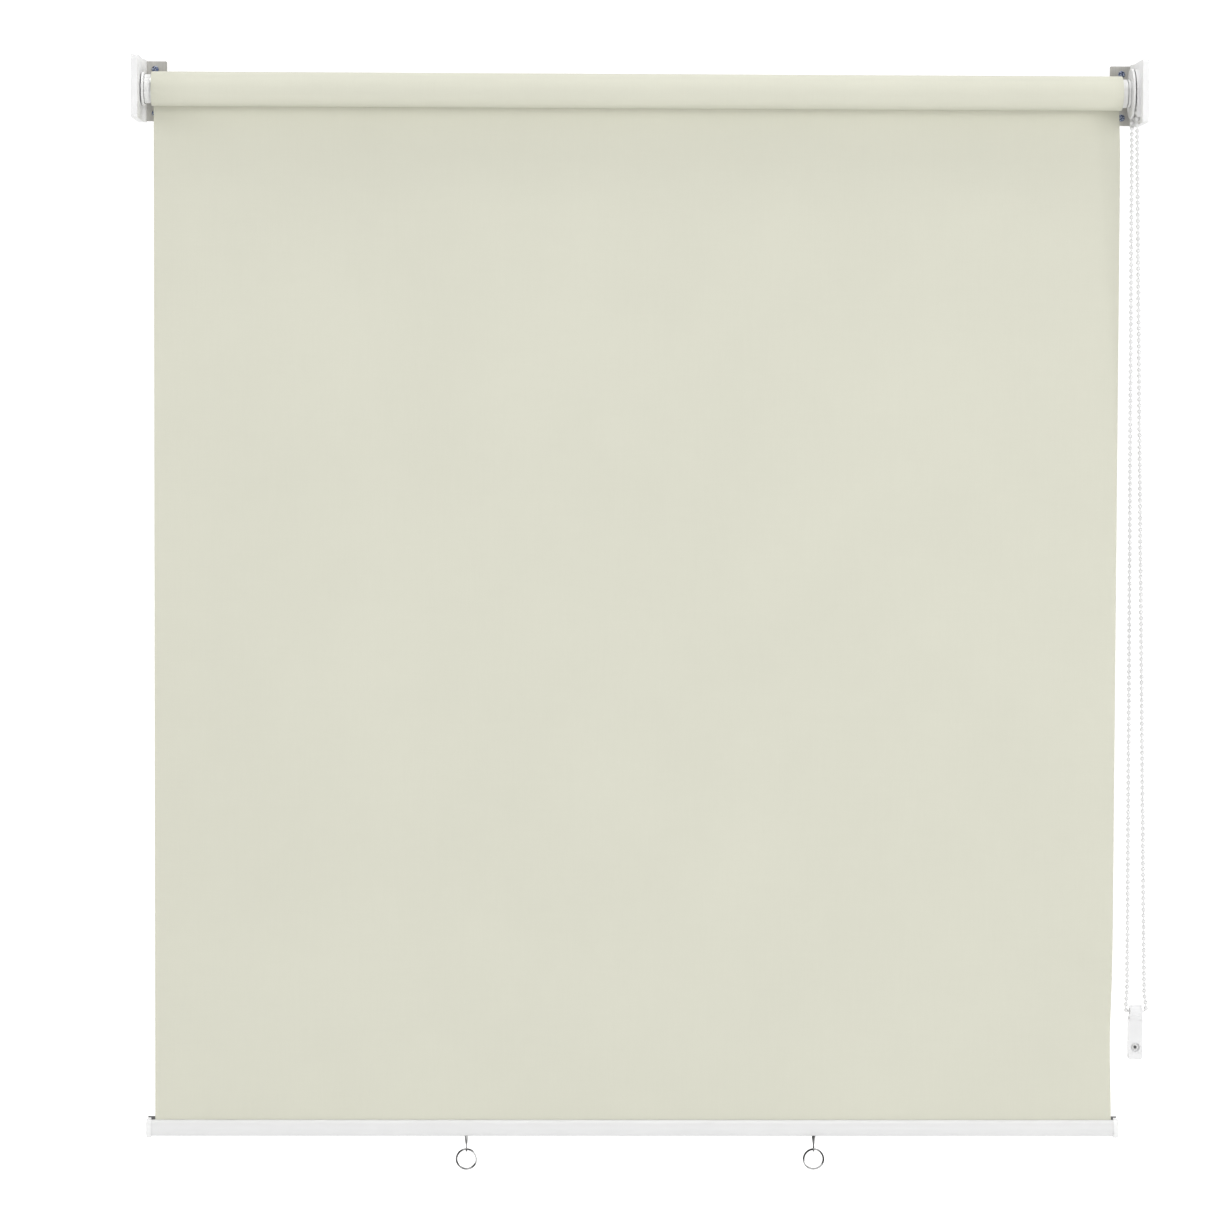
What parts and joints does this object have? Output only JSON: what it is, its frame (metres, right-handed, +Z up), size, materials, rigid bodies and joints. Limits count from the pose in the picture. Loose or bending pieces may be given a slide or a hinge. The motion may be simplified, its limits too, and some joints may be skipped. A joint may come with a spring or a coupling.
{
  "type": "roller blind",
  "caption": "Wall-mounted roller blind: cloth on a sprung-pin roller between covered steel brackets, bead-chain clutch drive with wall tensioner, and a weighted bottom bar with pull rings.",
  "frame": {"origin": "centre of the pattern of the four wall screws, in the wall plane, level with the roller axis", "axes": "+X towards the chain side, +Y into the wall, +Z up"},
  "size_m": [1.0318, 0.101, 1.1282],
  "materials": {
    "zinc_plate": "zinc-plated pressed sheet, satin",
    "cover_plastic": "white moulded, semi-gloss",
    "plug_plastic": "white moulded, satin",
    "zinc_screw": "bright blue-white zinc",
    "white_screw": "white painted head, satin",
    "pin_steel": "turned steel",
    "spring_steel": "oiled spring wire",
    "tube_aluminium": "mill finish extrusion",
    "fabric_tape": "double-sided adhesive strip",
    "blind_cloth": "cream plain-weave coated blind cloth, matt",
    "bead_plastic": "white moulded beads on a cord",
    "tensioner_plastic": "off-white moulded, slightly translucent",
    "bar_paint": "white powder coat, satin",
    "cap_plastic": "white moulded, satin",
    "spline_plastic": "dark flexible strip",
    "ring_chrome": "nickel-plated wire, polished"
  },
  "bodies": {
    "wall_mount": {"left_bracket": "zinc_plate", "right_bracket": "zinc_plate", "left_bracket_cover": "cover_plastic", "right_bracket_cover": "cover_plastic", "left_wall_screws": "zinc_screw", "right_wall_screws": "zinc_screw", "idle_socket": "plug_plastic", "clutch_hub": "plug_plastic", "hub_screw": "zinc_screw", "hub_clip": "spring_steel", "chain_shroud": "cover_plastic", "bead_chain": "bead_plastic", "chain_tensioner": "tensioner_plastic", "tensioner_screw": "white_screw", "hanging_sheet": "blind_cloth"},
    "roller": {"roller_tube": "tube_aluminium", "fabric_tape": "fabric_tape", "wound_fabric": "blind_cloth", "idle_plug": "plug_plastic", "idle_pin_spring": "spring_steel", "drive_plug": "plug_plastic"},
    "chain_wheel": {"chain_wheel": "plug_plastic", "inner_brake_spring": "spring_steel", "outer_brake_spring": "spring_steel"},
    "idle_pin": {"idle_pin": "pin_steel"},
    "bottom_bar": {"bottom_bar": "bar_paint", "left_bar_cap": "cap_plastic", "right_bar_cap": "cap_plastic", "bar_spline": "spline_plastic", "left_ring_eye": "ring_chrome", "right_ring_eye": "ring_chrome"},
    "left_pull_ring": {"left_pull_ring": "ring_chrome"},
    "right_pull_ring": {"right_pull_ring": "ring_chrome"}
  },
  "joints": [
    {"name": "roller_spin", "type": "hinge", "parent": "wall_mount", "child": "roller", "pos_m": [0, -0.0325, 0], "axis": [1, 0, 0], "range_deg": [0, 3000]},
    {"name": "chain_wheel_spin", "type": "hinge", "parent": "wall_mount", "child": "chain_wheel", "pos_m": [0.499, -0.0325, 0], "axis": [1, 0, 0], "range_deg": [0, 3000]},
    {"name": "bar_lift", "type": "slide", "parent": "wall_mount", "child": "bottom_bar", "axis": [0, 0, 1], "range_m": [0, 1.0158], "deforming": ["hanging_sheet"]},
    {"name": "idle_pin_slide", "type": "slide", "parent": "roller", "child": "idle_pin", "axis": [1, 0, 0], "range_m": [0, 0.0058], "stiffness_N_per_m": 500, "springref_m": -0.008, "deforming": ["idle_pin_spring"]},
    {"name": "left_ring_swing", "type": "hinge", "parent": "bottom_bar", "child": "left_pull_ring", "pos_m": [-0.173, -0.0156, -1.0755], "axis": [1, 0, 0], "range_deg": [-80, 80]},
    {"name": "right_ring_swing", "type": "hinge", "parent": "bottom_bar", "child": "right_pull_ring", "pos_m": [0.1822, -0.0156, -1.0755], "axis": [1, 0, 0], "range_deg": [-80, 80]}
  ],
  "couplings": [
    {"joint": "chain_wheel_spin", "follows": "roller_spin", "ratio": 1},
    {"joint": "bar_lift", "follows": "roller_spin", "m_per_rad": 0.0194}
  ]
}
